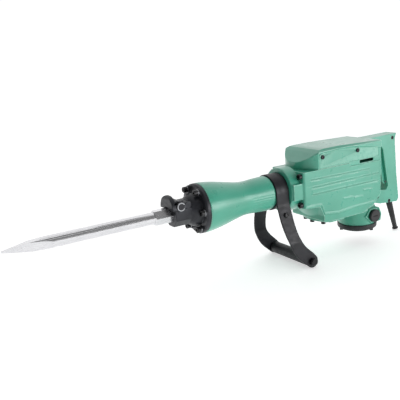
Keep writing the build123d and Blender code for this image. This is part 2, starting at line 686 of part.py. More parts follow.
def cover_plan(inset, z0, z1):
    """The crank cover's plan, round in front, inset by a distance."""
    centre = COVER_FRONT + NOSE_PLAN_R
    return rod_z(NOSE_PLAN_R - inset, z0, z1, centre) + block(centre, BODY_REAR + 40, -80, 80, z0, z1)


def joint_step(half, rear, z1):
    """The strips of wall, at both sides and the rear, by which the joint steps down."""
    strip = block(STEP_X, rear, -half, half, STEP_Z, z1)
    inner = BODY_HALF - WALL
    return strip - block(STEP_X - 1, BODY_REAR - WALL, -inner, inner, STEP_Z - 1, z1 + 1)


def make_crank_cover():
    front = COVER_FRONT
    half = BODY_HALF - 0.5
    side = [(front, SPLIT_Z), (front + 1, 61), (front + 13, 70), (front + 28, 82), (front + 38, 88.5),
            (front + 50, BODY_TOP), (436, BODY_TOP), (BODY_REAR, BODY_TOP_REAR), (BODY_REAR, SPLIT_Z)]
    cover = prism_y(side, -BODY_HALF, BODY_HALF)
    cover = cover & prism_x(cover_section(half, SPLIT_Z), 300, 600)
    cover = cover & cover_plan(0, SPLIT_Z, 100)
    hollow = [(front + 12, SPLIT_Z - 1), (front + 12, 60), (front + 40, BODY_TOP - WALL - 3),
              (436, BODY_TOP - WALL - 1), (BODY_REAR - WALL, BODY_TOP_REAR - WALL - 1),
              (BODY_REAR - WALL, SPLIT_Z - 1)]
    inner = BODY_HALF - WALL - 1
    room = prism_y(hollow, -inner, inner)
    room = room & cover_plan(WALL + 3.5, SPLIT_Z - 1, 100)
    cover -= room
    cover += joint_step(half, BODY_REAR - 0.5, SPLIT_Z)
    for x, radius in ((CRANK_X, 20), (MID_X, 18)):
        cover += rod_z(radius, UPPER_BEARING_Z, BODY_TOP - WALL - 1, x)
    cover -= rod_z(16, UPPER_BEARING_Z - 1, UPPER_BEARING_Z + 9, CRANK_X)
    cover -= rod_z(14, UPPER_BEARING_Z - 1, UPPER_BEARING_Z + 9, MID_X)
    for side_y in (-1, 1):
        face = side_y * half
        low, high = sorted((face - side_y * SIDE_PLATE_T, face + side_y))
        cover -= prism_y(side_plate_outline(), low, high, 0.2)
        low, high = sorted((face - side_y * 12, face + side_y))
        cover -= block(491, 536, low, high, STEP_Z + 2.5, STEP_Z + 10)
    return cover


SIDE_PLATE_T = 2.0


def side_plate_outline():
    """Outline (x, z) of the thin plate let into each upper side."""
    low = SPLIT_Z + 4
    front = COVER_FRONT + 35
    rear = BODY_REAR - 10
    return [(front, low), (front, 73), (front + 10, 79), (front + 50, 82), (468, 80), (rear, 69), (rear, low)]


def make_side_plate(side_y):
    face = side_y * (BODY_HALF - 0.5)
    low, high = sorted((face - side_y * SIDE_PLATE_T, face - side_y * 0.4))
    plate = prism_y(side_plate_outline(), low, high)
    for x, z in side_screw_places():
        plate -= rod_y(2.2, -80, 80, x, z)
    return plate


def side_screw_places():
    return [(COVER_FRONT + 43.5, 71.5), (484, 71.5)]


def make_side_screws():
    screws = []
    for side_y in (-1, 1):
        seat = side_y * (BODY_HALF - 0.9)
        for x, z in side_screw_places():
            screws.append(pan_screw_y(2.2, 5.0, 3.0, x, z, seat, 1.5, side_y))
    return parts_group(screws)


def make_bottom_cover():
    x = KEEL_FRONT + KEEL_R
    plate = rod_z(KEEL_R - 1, BODY_BOTTOM - 5, BODY_BOTTOM, x)
    plate = plate & block(360, 440, -54, 54, BODY_BOTTOM - 5, BODY_BOTTOM)
    for px, py in bottom_bolt_places():
        plate -= rod_z(3, BODY_BOTTOM - 8, BODY_BOTTOM + 1, px, py)
    return plate


def bottom_bolt_places():
    x = KEEL_FRONT + KEEL_R
    radius = KEEL_R - 7
    front = [(x - radius * math.cos(math.radians(a)), radius * math.sin(math.radians(a)))
             for a in (-23, 0, 23)]
    return front + [(432, -22), (432, 22)]


def make_bottom_bolts():
    bolts = []
    for x, y in bottom_bolt_places():
        head = rod_z(5.5, BODY_BOTTOM - 11, BODY_BOTTOM - 5, x, y)
        bolts.append(head + rod_z(3, BODY_BOTTOM - 5, BODY_BOTTOM, x, y))
    return parts_group(bolts)


def make_motor_housing():
    inner = MOTOR_UPPER_R - MOTOR_WALL
    housing = rod_z(MOTOR_UPPER_R, BODY_BOTTOM - 2, MOTOR_TOP, MOTOR_X)
    housing += rod_z(MOTOR_R, MOTOR_BOTTOM, BODY_BOTTOM, MOTOR_X)
    for side in (-1, 1):
        low, high = sorted((side * 30, side * 50))
        housing += prism_y(brush_lug_outline(), low, high)
        low, high = sorted((side * (MOTOR_R + 0.4), side * 51))
        housing -= prism_y(brush_web_outline(), low, high)
        low, high = sorted((side * 40, side * 50))
        housing += rod_y(BRUSH_CAP_R - 2.4, low, high, BRUSH_X, BRUSH_Z)
    housing -= rod_z(inner, -82, MOTOR_TOP + 1, MOTOR_X)
    housing -= rod_z(36, MOTOR_BOTTOM + 10, -70, MOTOR_X)
    housing -= rod_z(13, MOTOR_BOTTOM - 1, MOTOR_BOTTOM + 12, MOTOR_X)
    for side in (-1, 1):
        low, high = sorted((side * 20, side * 52))
        housing -= rod_y(8, low, high, BRUSH_X, BRUSH_Z)
    return housing


def brush_lug_outline():
    """Outline (x, z) of the six-sided lug that carries a brush cap."""
    return [(MOTOR_X - 16, BRUSH_Z + 1), (MOTOR_X + 2, BRUSH_Z - 18), (MOTOR_X + 34, BRUSH_Z - 18),
            (MOTOR_X + 38, BRUSH_Z), (MOTOR_X + 30, BODY_BOTTOM), (MOTOR_X - 2, BODY_BOTTOM)]


def brush_web_outline():
    return [(MOTOR_X - 11, BRUSH_Z + 1), (MOTOR_X + 4, BRUSH_Z - 13), (MOTOR_X + 31, BRUSH_Z - 13),
            (MOTOR_X + 34, BRUSH_Z), (MOTOR_X + 27, BODY_BOTTOM - 3), (MOTOR_X, BODY_BOTTOM - 3)]


def make_brush_holders():
    holders = []
    for side in (-1, 1):
        low, high = sorted((side * 20, side * 49))
        tube = rod_y(8, low, high, BRUSH_X, BRUSH_Z)
        holders.append(tube - block(BRUSH_X - 4, BRUSH_X + 4, low - 1, high + 1, BRUSH_Z - 5, BRUSH_Z + 5))
    return parts_group(holders)


def make_carbon_brushes():
    brushes = []
    for side in (-1, 1):
        low, high = sorted((side * 17.5, side * 36))
        brushes.append(block(BRUSH_X - 3.8, BRUSH_X + 3.8, low, high, BRUSH_Z - 4.8, BRUSH_Z + 4.8))
    return parts_group(brushes)


def make_brush_cap(side):
    low, high = sorted((side * 50, side * 57))
    cap = rod_y(BRUSH_CAP_R, low, high, BRUSH_X, BRUSH_Z)
    cap = chamfer(cap.edges().group_by(Axis.Y)[0 if side < 0 else -1], 1.5)
    slot = Pos(MOTOR_X + 9, side * 57, BRUSH_Z) * Box(14, 4, 2.4)
    return cap - slot


def make_tail_cover():
    outer = [
        Line((0, TAIL_BOTTOM - TAIL_FOOT), (TAIL_FOOT_R, TAIL_BOTTOM - TAIL_FOOT)),
        Line((TAIL_FOOT_R, TAIL_BOTTOM - TAIL_FOOT), (TAIL_FOOT_R, TAIL_BOTTOM)),
        Line((TAIL_FOOT_R, TAIL_BOTTOM), (TAIL_R - 7, TAIL_BOTTOM)),
        ThreePointArc((TAIL_R - 7, TAIL_BOTTOM), (TAIL_R - 2, TAIL_BOTTOM + 2), (TAIL_R, TAIL_BOTTOM + 7)),
        Line((TAIL_R, TAIL_BOTTOM + 7), (TAIL_R, MOTOR_BOTTOM)),
        Line((TAIL_R, MOTOR_BOTTOM), (0, MOTOR_BOTTOM)),
        Line((0, MOTOR_BOTTOM), (0, TAIL_BOTTOM - TAIL_FOOT)),
    ]
    cover = Pos(MOTOR_X, 0, 0) * revolve(Plane.XZ * make_face(outer), Axis.Z)
    cover -= rod_z(38, TAIL_BOTTOM + 5, MOTOR_BOTTOM + 1, MOTOR_X)
    for ring in (12, 21, 30):
        for k in range(12):
            angle = math.radians(30 * k + 15)
            x = MOTOR_X + ring * math.cos(angle)
            y = ring * math.sin(angle)
            cover -= rod_z(2.5, TAIL_BOTTOM - TAIL_FOOT - 1, TAIL_BOTTOM + 6, x, y)
    for x, y in tail_screw_places():
        cover -= rod_z(2.5, TAIL_BOTTOM - 1, MOTOR_BOTTOM + 1, x, y)
    return cover


def tail_screw_places():
    angles = [math.radians(TAIL_SCREW_ANGLE + 120 * k) for k in range(3)]
    return [(MOTOR_X + TAIL_SCREW_CIRCLE * math.cos(a), TAIL_SCREW_CIRCLE * math.sin(a)) for a in angles]


def make_tail_screws():
    screws = []
    for x, y in tail_screw_places():
        head = rod_z(4.5, TAIL_BOTTOM - TAIL_SCREW_HEAD, TAIL_BOTTOM, x, y)
        screws.append(head + rod_z(2.5, TAIL_BOTTOM, MOTOR_BOTTOM, x, y))
    return parts_group(screws)


# ---------------------------------------------------------------- rear handle
def handle_outline():
    """Outer side outline (x, z) of the rear handle."""
    return [(BODY_REAR, BODY_TOP_REAR), (660, 87), (655, 72), (660, -20), (667, -88), (660, -97), (600, -92),
            (BODY_REAR - 4, -80), (BODY_REAR - 4, -49), (BODY_REAR, SPLIT_Z)]


def handle_opening():
    return [(BODY_REAR + 12, 54), (BODY_REAR + 20, 62), (606, 60), (612, 50), (628, -48), (622, -58),
            (BODY_REAR + 16, -52), (BODY_REAR + 10, -42)]


def make_handle_half(side):
    low, high = sorted((0.0, side * HANDLE_HALF))
    half = prism_y(handle_outline(), low, high)
    half -= prism_y(handle_opening(), low - 1, high + 1)
    half -= rod_z(MOTOR_R, MOTOR_BOTTOM, BODY_BOTTOM, MOTOR_X)
    half -= rod_z(MOTOR_UPPER_R, BODY_BOTTOM, MOTOR_TOP, MOTOR_X)
    room_low, room_high = sorted((-side * 1.0, side * (HANDLE_HALF - HANDLE_WALL)))
    half -= prism_y([(622, 50), (648, 60), (651, 20), (654, -40), (659, -80), (636, -84), (634, -44)],
                    room_low, room_high)
    slot_low, slot_high = sorted((-side * 1.0, side * (TRIGGER_HALF + TRIGGER_GAP)))
    half -= trigger_slot(slot_low, slot_high)
    half -= cord_line() * Cylinder(GUARD_NECK_R, 60)
    half -= rod_y(2.5, -14, 14, *TRIGGER_PIN)
    for x, z in handle_screw_places():
        half -= rod_y(2.5, -14.5, HANDLE_HALF - 1, x, z)
        half -= rod_y(5.0, -HANDLE_HALF - 1, -14.5, x, z)
    return half


def trigger_slot(y0, y1):
    """All that the trigger passes through on its way in, and a gap round it."""
    px, pz = TRIGGER_PIN
    swept = []
    for share in (0, 0.5, 1):
        angle = math.radians((TRIGGER_SWING + 1) * share)
        turned = [(px + (x - px) * math.cos(angle) + (z - pz) * math.sin(angle),
                   pz - (x - px) * math.sin(angle) + (z - pz) * math.cos(angle))
                  for x, z in trigger_outline()]
        swept += Polyline(*turned, close=True).edges()
    plane = Plane(origin=(0, y1, 0), x_dir=(1, 0, 0), z_dir=(0, -1, 0))
    return extrude(plane * offset(make_hull(swept), TRIGGER_GAP, kind=Kind.INTERSECTION), y1 - y0)


def handle_screw_places():
    return [(578, 74), (646, 76), (590, -72), (632, -90)]


def make_handle_screws():
    screws = []
    for x, z in handle_screw_places():
        head = rod_y(4.6, -HANDLE_HALF + 0.8, -14.5, x, z)
        head -= Pos(x, -HANDLE_HALF + 0.8, z) * (Box(6, 2, 1.2) + Box(1.2, 2, 6))
        screws.append(head + rod_y(2.5, -14.5, HANDLE_HALF - 1, x, z))
    return parts_group(screws)


def trigger_outline():
    return [(603, 42), (609, 50), (616, 44), (631, -36), (630, -43), (622, -44), (617, -38)]


def make_trigger():
    trigger = prism_y(trigger_outline(), -TRIGGER_HALF, TRIGGER_HALF)
    trigger -= rod_y(2.5 + PIN_PLAY, -20, 20, *TRIGGER_PIN)
    return trigger - block(619, 640, -6, 6, -50, -31)


def make_trigger_pin():
    return rod_y(2.5, -14, 14, *TRIGGER_PIN)


def make_trigger_spring():
    coil = rod_y(4.4, -5, 5, *TRIGGER_PIN) - rod_y(3.4, -6, 6, *TRIGGER_PIN)
    for y in (-3.75, -1.25, 1.25, 3.75):
        groove = rod_y(6, y - 0.15, y + 0.15, *TRIGGER_PIN) - rod_y(3.9, y - 1, y + 1, *TRIGGER_PIN)
        coil -= groove
    return coil


def make_switch_body():
    body = block(634, 649, -12, 12, -20, 34)
    return body + block(631.5, 634, -4, 4, 16, 26)


def cord_line():
    """The place of the cord entry: its Z axis runs down along the guard."""
    dx = GUARD_END[0] - GUARD_TOP[0]
    dz = GUARD_END[1] - GUARD_TOP[1]
    return Pos(GUARD_TOP[0], 0, GUARD_TOP[1]) * Rot(0, -math.degrees(math.atan2(dx, -dz)), 0)


def make_cord_guard():
    length = math.dist(GUARD_TOP, GUARD_END)
    profile = Polyline((GUARD_BORE, 14), (GUARD_NECK_R, 14), (GUARD_NECK_R, 2), (8.3, 1), (5.8, -length + 4),
                       (7.8, -length + 3), (7.8, -length), (GUARD_BORE, -length), close=True)
    return cord_line() * revolve(Plane.XZ * make_face(profile), Axis.Z)


# ---------------------------------------------------------------- side handle
def strap_side(y_offset, sign):
    """One side of the strap in (y, z): straight beside the neck, then flaring to the grip."""
    top = NECK_R + STRAP_GAP + y_offset
    foot = LEG_HALF + y_offset
    return [(sign * top, 0), (sign * top, LEG_TOP_Z), (sign * (foot - 6), KNEE_Z), (sign * foot, FOOT_Z)]


def strap_arch(y_offset):
    """The closed arch outline in (y, z), its face y_offset outside the neck."""
    radius = NECK_R + STRAP_GAP + y_offset
    left = FilletPolyline(*strap_side(y_offset, -1), radius=30)
    right = FilletPolyline(*strap_side(y_offset, 1), radius=30)
    top = ThreePointArc((-radius, 0), (0, radius), (radius, 0))
    foot = LEG_HALF + y_offset
    return [*left.edges(), top, *right.edges(), Line((foot, FOOT_Z), (-foot, FOOT_Z))]


def leg_side_outline():
    """Side outline (x, z) of the strap and legs."""
    end_r = 16.0
    front_end = (GRIP_X - end_r * 0.70, GRIP_Z - end_r * 0.714)
    rear_end = (GRIP_X + end_r * 0.80, GRIP_Z + end_r * 0.60)
    front = Spline((STRAP_FRONT, -48), (255.5, -92), (281.5, -152), front_end, tangents=[(0, -1), (1, -0.9)])
    rear = Spline(rear_end, (302, -124), (STRAP_REAR, -56), tangents=[(-0.7, 0.9), (0, 1)])
    return [Line((STRAP_FRONT, 60), (STRAP_FRONT, -48)), front,
            ThreePointArc(front_end, (GRIP_X + end_r * 0.72, GRIP_Z - end_r * 0.694), rear_end), rear,
            Line((STRAP_REAR, -56), (STRAP_REAR, 60)), Line((STRAP_REAR, 60), (STRAP_FRONT, 60))]


def make_side_handle_strap():
    band = curve_prism_x(strap_arch(STRAP_T), STRAP_FRONT - 5, 345)
    band -= curve_prism_x(strap_arch(0), STRAP_FRONT - 6, 346)
    strap = band & curve_prism_y(leg_side_outline(), -90, 90)
    strap -= rod_y(5.2, -100, 100, GRIP_X, GRIP_Z)
    for side in (-1, 1):
        strap -= clamp_place(side) * Cylinder(4.2, 30)
    return strap


def clamp_place(side):
    """Place of a clamp screw; its Z axis is the leg's outward normal."""
    drop = KNEE_Z - LEG_TOP_Z
    spread = LEG_HALF - 6 - NECK_R - STRAP_GAP
    tilt = math.degrees(math.atan2(spread, -drop))
    share = (-50 - LEG_TOP_Z) / drop
    y = NECK_R + STRAP_GAP + spread * share
    return Pos(269, side * y, -50) * Rot(-side * (90 - tilt), 0, 0)


def make_side_handle_saddle():
    lower = rod_x(NECK_R + STRAP_GAP + 4, STRAP_FRONT + 3, STRAP_REAR - 3)
    lower &= block(STRAP_FRONT, STRAP_REAR, -NECK_R, NECK_R, -60, -14)
    ears = curve_prism_x(strap_arch(-STRAP_GAP), STRAP_FRONT + 3, STRAP_REAR - 3)
    ears -= curve_prism_x(strap_arch(-4), STRAP_FRONT - 6, 346)
    ears &= block(STRAP_FRONT, STRAP_REAR, -60, 60, -60, -14)
    saddle = lower + ears
    saddle -= rod_x(NECK_R + STRAP_GAP, 200, 300)
    for side in (-1, 1):
        saddle -= clamp_place(side) * Cylinder(4.2, 30)
    return saddle


def make_clamp_screws():
    screws = []
    for side in (-1, 1):
        head = Pos(0, 0, STRAP_T + 2.2) * Cylinder(5.8, 4)
        head = chamfer(head.edges().group_by(Axis.Z)[-1], 1.2)
        head -= Pos(0, 0, STRAP_T + 2.5) * extrude(RegularPolygon(3.4, 6), 3)
        shank = Pos(0, 0, (STRAP_T - 5.5) / 2 + 0.2) * Cylinder(4, STRAP_T + 6)
        screws.append(clamp_place(side) * (head + shank))
    return parts_group(screws)


def leg_inner(z):
    """Half distance between the legs' inner faces at height z, below the flare's knee."""
    knee, foot = LEG_HALF - 6, LEG_HALF
    return knee + (foot - knee) * (KNEE_Z - z) / (KNEE_Z - FOOT_Z)


def make_side_handle_grip():
    end = leg_inner(GRIP_Z + GRIP_R) - 0.2
    grip = rod_y(GRIP_R, -end, end, GRIP_X, GRIP_Z)
    grip = fillet(grip.edges(), 3)
    return grip - rod_y(5.2, -100, 100, GRIP_X, GRIP_Z)


def make_side_handle_bolt():
    reach = LEG_HALF + STRAP_T + 1
    bolt = rod_y(5, -reach, reach + 10, GRIP_X, GRIP_Z)
    head = rod_y(9, -reach - 6, -reach, GRIP_X, GRIP_Z)
    head = chamfer(head.edges().group_by(Axis.Y)[0], 1.2)
    return bolt + head


def make_side_handle_nut():
    reach = LEG_HALF + STRAP_T + 1
    plane = Plane(origin=(GRIP_X, reach + 8, GRIP_Z), x_dir=(1, 0, 0), z_dir=(0, -1, 0))
    nut = extrude(plane * RegularPolygon(8.5, 6, major_radius=False), 8)
    return nut - rod_y(5, 0, 120, GRIP_X, GRIP_Z)


PARTS = {}


def add(name, solid):
    PARTS[name] = solid


def main():
    add("chisel", make_chisel())
    add("front_cover", make_front_cover())
    add("front_cover_bolts", make_cover_bolts())
    add("front_cover_washers", make_cover_washers())
    add("retainer_pin", make_retainer_pin())
    add("retainer_lever", make_retainer_lever())
    add("retainer_clips", make_retainer_clips())
    add("flange_gasket", make_flange_gasket())
    add("cylinder_case", make_cylinder_case())
    add("anvil_bush", make_anvil_bush())
    add("damper_washers", make_damper_washers())
    add("damper_ring", make_damper_ring())
    add("anvil", make_anvil())
    add("cylinder_liner", make_cylinder_liner())
    add("striker", make_striker())
    add("striker_ring", make_striker_ring())
    add("piston", make_piston())
    add("piston_ring", make_piston_ring())
    add("wrist_pin", make_wrist_pin())
    add("connecting_rod", make_connecting_rod())
    add("crankshaft", make_crankshaft())
    add("crank_gear", make_crank_gear())
    add("intermediate_shaft", make_intermediate_shaft())
    add("intermediate_gear", make_intermediate_gear())
    add("crank_bearings", make_crank_bearings())
    add("intermediate_bearings", make_intermediate_bearings())
    add("armature_bearings", make_armature_bearings())
    add("armature_shaft", make_armature_shaft())
    add("armature_core", make_armature_core())
    add("commutator", make_commutator())
    add("cooling_fan", make_cooling_fan())
    add("stator", make_stator())
    add("field_coils", make_field_coils())
    add("crank_case", make_crank_case())
    add("neck_bolts", make_neck_bolts())
    add("crank_cover", make_crank_cover())
    add("side_plates", parts_group([make_side_plate(-1), make_side_plate(1)]))
    add("brush_caps", parts_group([make_brush_cap(-1), make_brush_cap(1)]))
    add("handle_half_right", make_handle_half(-1))
    add("handle_half_left", make_handle_half(1))
    add("side_plate_screws", make_side_screws())
    add("bottom_cover", make_bottom_cover())
    add("bottom_cover_bolts", make_bottom_bolts())
    add("motor_housing", make_motor_housing())
    add("brush_holders", make_brush_holders())
    add("carbon_brushes", make_carbon_brushes())
    add("tail_cover", make_tail_cover())
    add("tail_cover_screws", make_tail_screws())
    add("trigger", make_trigger())
    add("trigger_pin", make_trigger_pin())
    add("trigger_spring", make_trigger_spring())
    add("switch_body", make_switch_body())
    add("handle_screws", make_handle_screws())
    add("cord_guard", make_cord_guard())
    add("side_handle_strap", make_side_handle_strap())
    add("side_handle_saddle", make_side_handle_saddle())
    add("side_handle_clamp_screws", make_clamp_screws())
    add("side_handle_grip", make_side_handle_grip())
    add("side_handle_bolt", make_side_handle_bolt())
    add("side_handle_nut", make_side_handle_nut())
    os.makedirs("parts", exist_ok=True)
    for name, solid in PARTS.items():
        export_step(solid, "parts/" + name + ".step")


main()
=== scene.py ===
import json
import math

import bpy
import numpy as np
from mathutils import Matrix, Vector


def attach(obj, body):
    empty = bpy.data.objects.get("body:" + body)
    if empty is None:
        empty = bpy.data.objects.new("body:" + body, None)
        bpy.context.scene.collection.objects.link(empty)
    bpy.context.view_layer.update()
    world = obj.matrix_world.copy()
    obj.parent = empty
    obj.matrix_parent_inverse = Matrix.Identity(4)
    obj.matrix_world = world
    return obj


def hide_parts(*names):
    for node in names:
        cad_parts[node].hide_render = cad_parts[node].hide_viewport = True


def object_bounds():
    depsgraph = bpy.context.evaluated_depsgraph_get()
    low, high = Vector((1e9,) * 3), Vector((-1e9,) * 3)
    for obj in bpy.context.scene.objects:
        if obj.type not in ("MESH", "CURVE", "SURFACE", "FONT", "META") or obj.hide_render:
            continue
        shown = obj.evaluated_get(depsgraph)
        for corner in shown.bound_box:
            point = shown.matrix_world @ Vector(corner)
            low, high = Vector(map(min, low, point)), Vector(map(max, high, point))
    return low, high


# Electric demolition hammer. Metres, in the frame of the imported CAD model: the striking axis is
# X, the tool socket's mouth is at X = 0, the handle is at +X and +Z is up.

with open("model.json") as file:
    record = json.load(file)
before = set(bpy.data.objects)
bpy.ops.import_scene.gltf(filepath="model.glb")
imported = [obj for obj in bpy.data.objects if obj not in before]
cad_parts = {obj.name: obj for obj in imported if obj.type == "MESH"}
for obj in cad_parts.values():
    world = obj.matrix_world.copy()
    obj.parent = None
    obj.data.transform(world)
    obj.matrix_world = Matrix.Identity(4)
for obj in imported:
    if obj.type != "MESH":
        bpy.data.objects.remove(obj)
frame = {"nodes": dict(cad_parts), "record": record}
cad_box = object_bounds()
scene = bpy.context.scene
MM = 0.001
WELD_GAP = 0.02 * MM
BEVEL_WIDTH = 0.4 * MM
BEVEL_ANGLE = math.radians(35)
MOST_TRIANGLES = 150000


# ---------------------------------------------------------------- material nodes
class Nodes:
    """A material's node tree, with short calls for the nodes used here."""

    def __init__(self, name):
        self.material = bpy.data.materials.new(name)
        self.material.use_nodes = True
        self.tree = self.material.node_tree
        self.shader = self.tree.nodes["Principled BSDF"]
        self.place = self.tree.nodes.new("ShaderNodeTexCoord").outputs["Object"]

    def link(self, source, target):
        self.tree.links.new(source, target)

    def stretched(self, scale):
        node = self.tree.nodes.new("ShaderNodeMapping")
        node.inputs["Scale"].default_value = scale
        self.link(self.place, node.inputs["Vector"])
        return node.outputs["Vector"]

    def noise(self, scale, detail=3.0, vector=None):
        node = self.tree.nodes.new("ShaderNodeTexNoise")
        node.inputs["Scale"].default_value = scale
        node.inputs["Detail"].default_value = detail
        self.link(vector or self.place, node.inputs["Vector"])
        return node.outputs["Fac"]

    def cells(self, scale):
        node = self.tree.nodes.new("ShaderNodeTexVoronoi")
        node.inputs["Scale"].default_value = scale
        self.link(self.place, node.inputs["Vector"])
        return node.outputs["Distance"]

    def span(self, value, low, high, out_low=0.0, out_high=1.0):
        node = self.tree.nodes.new("ShaderNodeMapRange")
        node.inputs["From Min"].default_value = low
        node.inputs["From Max"].default_value = high
        node.inputs["To Min"].default_value = out_low
        node.inputs["To Max"].default_value = out_high
        self.link(value, node.inputs["Value"])
        return node.outputs["Result"]

    def edge(self, low, high):
        """Pointiness, 0.5 on flat ground: up from low to high finds edges, down finds hollows."""
        node = self.tree.nodes.new("ShaderNodeNewGeometry")
        return self.span(node.outputs["Pointiness"], low, high)

    def times(self, a, b):
        node = self.tree.nodes.new("ShaderNodeMath")
        node.operation = "MULTIPLY"
        self.link(a, node.inputs[0])
        self.link(b, node.inputs[1])
        return node.outputs["Value"]

    def mix(self, share, first, second):
        """Blend two colours; each is a tuple or another node's output."""
        node = self.tree.nodes.new("ShaderNodeMix")
        node.data_type = "RGBA"
        self.link(share, node.inputs["Factor"])
        for value, key in ((first, 6), (second, 7)):
            if isinstance(value, tuple):
                node.inputs[key].default_value = (*value, 1.0)
            else:
                self.link(value, node.inputs[key])
        return node.outputs[2]

    def bump(self, height, strength, distance, below=None):
        node = self.tree.nodes.new("ShaderNodeBump")
        node.inputs["Strength"].default_value = strength
        node.inputs["Distance"].default_value = distance
        self.link(height, node.inputs["Height"])
        if below is not None:
            self.link(below, node.inputs["Normal"])
        return node.outputs["Normal"]

    def finish(self, colour, roughness, normal, metallic=0.0, coat=0.0, coat_roughness=0.1):
        self.link(colour, self.shader.inputs["Base Color"])
        self.link(roughness, self.shader.inputs["Roughness"])
        self.link(normal, self.shader.inputs["Normal"])
        self.shader.inputs["Metallic"].default_value = metallic
        self.shader.inputs["Coat Weight"].default_value = coat
        self.shader.inputs["Coat Roughness"].default_value = coat_roughness
        return self.material


def enamel(name, base, deep, edge_highlight_colour):
    """Sprayed enamel on a casting: orange peel, faint dirt, a painted highlight on its edges and painted
    shade in its hollows.
    """
    n = Nodes(name)
    cloud = n.span(n.noise(14, 4), 0.35, 0.7)
    colour = n.mix(cloud, base, deep)
    # Painted highlight: pale mint patches on the convex edges, standing in for light catching them.
    edge_wear_and_highlight = n.times(n.edge(0.515, 0.58), n.span(n.noise(160, 3), 0.2, 0.5))
    colour = n.mix(edge_wear_and_highlight, colour, edge_highlight_colour)
    # Painted shade: hollows and grooves darkened to a deep shadow green.
    painted_hollow_shade = n.edge(0.485, 0.42)
    colour = n.mix(painted_hollow_shade, colour, (0.004, 0.12, 0.07))
    specks = n.times(n.span(n.noise(900, 2), 0.71, 0.76), n.span(n.noise(22, 2), 0.45, 0.7))
    colour = n.mix(specks, colour, (0.02, 0.06, 0.05))
    rough = n.span(n.noise(60, 5), 0.3, 0.75, 0.26, 0.42)
    peel = n.bump(n.noise(700, 2), 0.12, 0.0003)
    cast = n.bump(n.noise(90, 3), 0.18, 0.0006, peel)
    return n.finish(colour, rough, cast, coat=0.7, coat_roughness=0.3)


def black_metal(name, dark, light, rub, grain, low_rough, high_rough):
    """Blackened or painted black steel with grey rubbing on its edges."""
    n = Nodes(name)
    colour = n.mix(n.span(n.noise(35, 4), 0.3, 0.75), dark, light)
    edge_wear_and_highlight = n.times(n.edge(0.53, 0.64), n.span(n.noise(210, 3), 0.35, 0.62))
    colour = n.mix(edge_wear_and_highlight, colour, rub)
    rough = n.span(n.noise(120, 4), 0.3, 0.7, low_rough, high_rough)
    fine = n.bump(n.noise(grain, 2), 0.25, 0.0003)
    coarse = n.bump(n.noise(grain / 6, 3), 0.2, 0.0006, fine)
    return n.finish(colour, rough, coarse, metallic=0.35)


def brushed(name, base, dull, scale, low_rough, high_rough):
    """Turned or ground metal: fine lines across scale's long direction, and stains."""
    n = Nodes(name)
    lines = n.noise(60, 3, n.stretched(scale))
    stain = n.span(n.noise(18, 4), 0.42, 0.75)
    colour = n.mix(n.span(lines, 0.3, 0.7), base, dull)
    colour = n.mix(n.times(stain, n.span(lines, 0.2, 0.8)), colour, tuple(c * 0.85 for c in dull))
    rough = n.span(lines, 0.3, 0.7, low_rough, high_rough)
    grooves = n.bump(lines, 0.05, 0.0002)
    return n.finish(colour, rough, grooves, metallic=1.0)


def moulded(name, base, light, grain, low_rough, high_rough):
    """Rubber or moulded plastic with a fine grain and a little dust."""
    n = Nodes(name)
    dust = n.times(n.span(n.noise(26, 4), 0.45, 0.75), n.span(n.noise(400, 2), 0.4, 0.7))
    colour = n.mix(dust, base, light)
    rough = n.span(n.noise(90, 3), 0.3, 0.7, low_rough, high_rough)
    pebble = n.bump(n.cells(grain), 0.22, 0.0002)
    wave = n.bump(n.noise(120, 2), 0.1, 0.0004, pebble)
    return n.finish(colour, rough, wave)


MATERIALS = {
    # The last colour of each enamel is the pale colour of its painted edge highlight.
    "green_paint": enamel("green_enamel", (0.045, 0.345, 0.23), (0.06, 0.4, 0.275), (0.5, 0.8, 0.68)),
    "green_plastic": enamel("green_plastic", (0.045, 0.35, 0.235), (0.06, 0.4, 0.28), (0.45, 0.76, 0.64)),
    "black_steel": black_metal(
        "black_steel", (0.008, 0.008, 0.01), (0.018, 0.018, 0.023), (0.13, 0.13, 0.14), 600, 0.34, 0.52),
    "black_casting": black_metal(
        "black_casting", (0.012, 0.013, 0.017), (0.034, 0.036, 0.044), (0.24, 0.24, 0.26), 260, 0.28, 0.48),
    "black_screw": black_metal(
        "black_screw", (0.006, 0.006, 0.008), (0.016, 0.016, 0.018), (0.26, 0.26, 0.27), 900, 0.22, 0.4),
    "bright_steel": brushed("bright_steel", (0.78, 0.78, 0.8), (0.7, 0.7, 0.72), (1, 16, 16), 0.2, 0.3),
    "machine_steel": brushed("machine_steel", (0.5, 0.5, 0.52), (0.36, 0.36, 0.38), (1, 10, 10), 0.25, 0.45),
    "zinc": brushed("zinc", (0.42, 0.43, 0.45), (0.34, 0.35, 0.37), (6, 6, 1), 0.28, 0.45),
    "bronze": brushed("bronze", (0.55, 0.33, 0.14), (0.42, 0.24, 0.1), (1, 9, 9), 0.28, 0.5),
    "copper": brushed("copper", (0.72, 0.29, 0.15), (0.5, 0.18, 0.09), (8, 8, 1), 0.3, 0.5),
    "rubber": moulded("rubber", (0.01, 0.01, 0.012), (0.05, 0.05, 0.055), 900, 0.5, 0.72),
    "grip_rubber": moulded("grip_rubber", (0.014, 0.015, 0.018), (0.045, 0.047, 0.052), 700, 0.45, 0.65),
    "black_plastic": moulded("black_plastic", (0.008, 0.008, 0.01), (0.04, 0.04, 0.045), 1300, 0.35, 0.55),
    "carbon": moulded("carbon", (0.02, 0.02, 0.02), (0.06, 0.06, 0.06), 2000, 0.6, 0.8),
    "gasket": moulded("gasket", (0.03, 0.03, 0.03), (0.1, 0.09, 0.08), 1500, 0.6, 0.8),
}
SLOT_OF = {part["node"]: part["material_slot"] for part in frame["record"]["subparts"]}
BODIES = frame["record"]["behaviour"]["bodies"]
BODY_OF = {node: body for body, nodes in BODIES.items() for node in nodes}


def dress(obj, slot_name):
    obj.data.materials.clear()
    obj.data.materials.append(MATERIALS[slot_name])


for node, obj in frame["nodes"].items():
    dress(obj, SLOT_OF[node])


